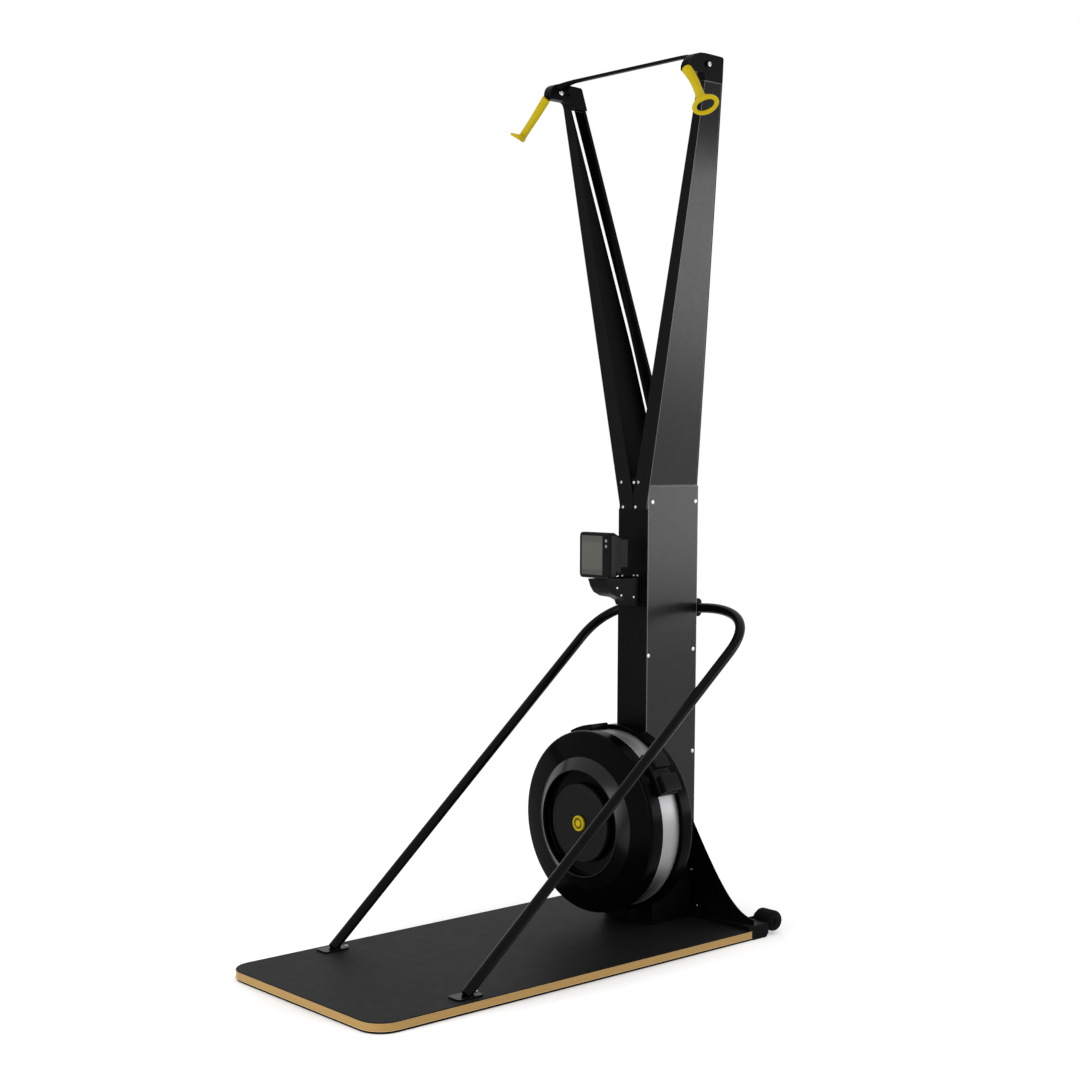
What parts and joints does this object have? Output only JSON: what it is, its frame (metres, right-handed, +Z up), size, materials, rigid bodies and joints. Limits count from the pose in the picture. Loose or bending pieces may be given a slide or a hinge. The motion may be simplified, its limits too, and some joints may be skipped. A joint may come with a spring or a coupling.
{
  "type": "ski ergometer on floor stand",
  "caption": "Upright ski trainer with a V of two open arms, pull handles, round air flywheel, monitor, bent handrail and a plywood standing board.",
  "frame": {"origin": "on the floor under the middle of the rear floor pad, on the machine's middle plane", "axes": "+X to the right of a user who faces the column, +Y away from the user, +Z up"},
  "size_m": [0.7051, 1.32, 2.2035],
  "materials": {
    "powder_coat": "satin",
    "panel_coat": "satin",
    "drum_plastic": "matte",
    "handle_plastic": "satin",
    "bright_steel": "brushed",
    "grey_trim": "satin",
    "plywood": "satin",
    "board_film": "matte",
    "rubber": "matte",
    "screen": "gloss"
  },
  "bodies": {
    "frame": {"board_core": "plywood", "board_skin": "board_film", "floor_pad_front": "rubber", "floor_pad_rear": "rubber", "floor_pad_left": "rubber", "floor_pad_right": "rubber", "rear_foot": "powder_coat", "rail_foot_left": "powder_coat", "rail_foot_right": "powder_coat", "gusset_left": "powder_coat", "gusset_right": "powder_coat", "base_box": "powder_coat", "column_spine": "powder_coat", "column_cover": "powder_coat", "root_block": "powder_coat", "arm_strip_left": "powder_coat", "arm_strip_right": "powder_coat", "head_shell_left": "powder_coat", "head_shell_right": "powder_coat", "crossbar": "powder_coat", "handrail": "powder_coat", "rail_clamp": "powder_coat", "drum_mount": "powder_coat", "drum_shelf": "powder_coat", "monitor_bracket": "powder_coat", "side_panel_left": "panel_coat", "side_panel_right": "panel_coat", "arm_channel_left": "panel_coat", "arm_channel_right": "panel_coat", "wheel_axle_left": "bright_steel", "wheel_axle_right": "bright_steel", "head_axle_left": "bright_steel", "head_axle_right": "bright_steel", "drum_band": "bright_steel", "front_bearing": "bright_steel", "rear_bearing": "bright_steel", "monitor_pivot": "bright_steel", "drum_front_cover": "drum_plastic", "drum_hub_disc": "drum_plastic", "drum_rear_shell": "drum_plastic", "damper_block": "drum_plastic", "band_clamp": "drum_plastic", "drum_bevel_ring": "grey_trim", "hub_badge": "handle_plastic"},
    "handle_left": {"handle_left": "handle_plastic"},
    "handle_right": {"handle_right": "handle_plastic"},
    "head_pulley_left": {"head_pulley_left": "drum_plastic"},
    "head_pulley_right": {"head_pulley_right": "drum_plastic"},
    "spool_left": {"spool_left": "bright_steel"},
    "spool_right": {"spool_right": "bright_steel"},
    "flywheel": {"fan_rotor": "drum_plastic", "fan_shaft": "bright_steel"},
    "damper_lever": {"damper_lever": "drum_plastic"},
    "monitor": {"monitor_case": "drum_plastic", "monitor_screen": "screen"},
    "button_1": {"monitor_button_1": "drum_plastic"},
    "button_2": {"monitor_button_2": "drum_plastic"},
    "button_3": {"monitor_button_3": "drum_plastic"},
    "wheel_left": {"transport_wheel_left": "rubber"},
    "wheel_right": {"transport_wheel_right": "rubber"}
  },
  "joints": [
    {"name": "handle_left_pull", "type": "slide", "parent": "frame", "child": "handle_left", "axis": [0, -0.45, -0.893], "range_m": [0, 1.4], "stiffness_N_per_m": 15, "springref_m": -1},
    {"name": "head_pulley_left_turn", "type": "hinge", "parent": "frame", "child": "head_pulley_left", "pos_m": [-0.24778, -0.146, 2.176], "axis": [1, 0, 0], "range_deg": [0, 7000]},
    {"name": "spool_left_turn", "type": "hinge", "parent": "frame", "child": "spool_left", "pos_m": [0, -0.083, 0.3045], "axis": [0, 1, 0], "range_deg": [0, 3360]},
    {"name": "wheel_left_roll", "type": "hinge", "parent": "frame", "child": "wheel_left", "pos_m": [-0.268, 0.115, 0.034], "axis": [1, 0, 0], "continuous": true},
    {"name": "handle_right_pull", "type": "slide", "parent": "frame", "child": "handle_right", "axis": [0, -0.45, -0.893], "range_m": [0, 1.4], "stiffness_N_per_m": 15, "springref_m": -1},
    {"name": "head_pulley_right_turn", "type": "hinge", "parent": "frame", "child": "head_pulley_right", "pos_m": [0.24778, -0.146, 2.176], "axis": [1, 0, 0], "range_deg": [0, 7000]},
    {"name": "spool_right_turn", "type": "hinge", "parent": "frame", "child": "spool_right", "pos_m": [0, -0.083, 0.3045], "axis": [0, 1, 0], "range_deg": [0, 3360]},
    {"name": "wheel_right_roll", "type": "hinge", "parent": "frame", "child": "wheel_right", "pos_m": [0.268, 0.115, 0.034], "axis": [1, 0, 0], "continuous": true},
    {"name": "flywheel_spin", "type": "hinge", "parent": "frame", "child": "flywheel", "pos_m": [0, -0.218, 0.3045], "axis": [0, 1, 0], "continuous": true},
    {"name": "damper_set", "type": "hinge", "parent": "frame", "child": "damper_lever", "pos_m": [0, -0.213, 0.3045], "axis": [0, -1, 0], "range_deg": [0, 4]},
    {"name": "monitor_tilt", "type": "hinge", "parent": "frame", "child": "monitor", "pos_m": [0, -0.24, 0.945], "axis": [1, 0, 0], "range_deg": [-10, 10]},
    {"name": "button_1_press", "type": "slide", "parent": "monitor", "child": "button_1", "axis": [0, 1, 0], "range_m": [0, 0.001], "stiffness_N_per_m": 400, "springref_m": -0.001},
    {"name": "button_2_press", "type": "slide", "parent": "monitor", "child": "button_2", "axis": [0, 1, 0], "range_m": [0, 0.001], "stiffness_N_per_m": 400, "springref_m": -0.001},
    {"name": "button_3_press", "type": "slide", "parent": "monitor", "child": "button_3", "axis": [0, 1, 0], "range_m": [0, 0.001], "stiffness_N_per_m": 400, "springref_m": -0.001}
  ],
  "couplings": [
    {"joint": "head_pulley_left_turn", "follows": "handle_left_pull", "rad_per_m": 86.957},
    {"joint": "spool_left_turn", "follows": "handle_left_pull", "rad_per_m": 41.667},
    {"joint": "head_pulley_right_turn", "follows": "handle_right_pull", "rad_per_m": 86.957},
    {"joint": "spool_right_turn", "follows": "handle_right_pull", "rad_per_m": 41.667}
  ]
}
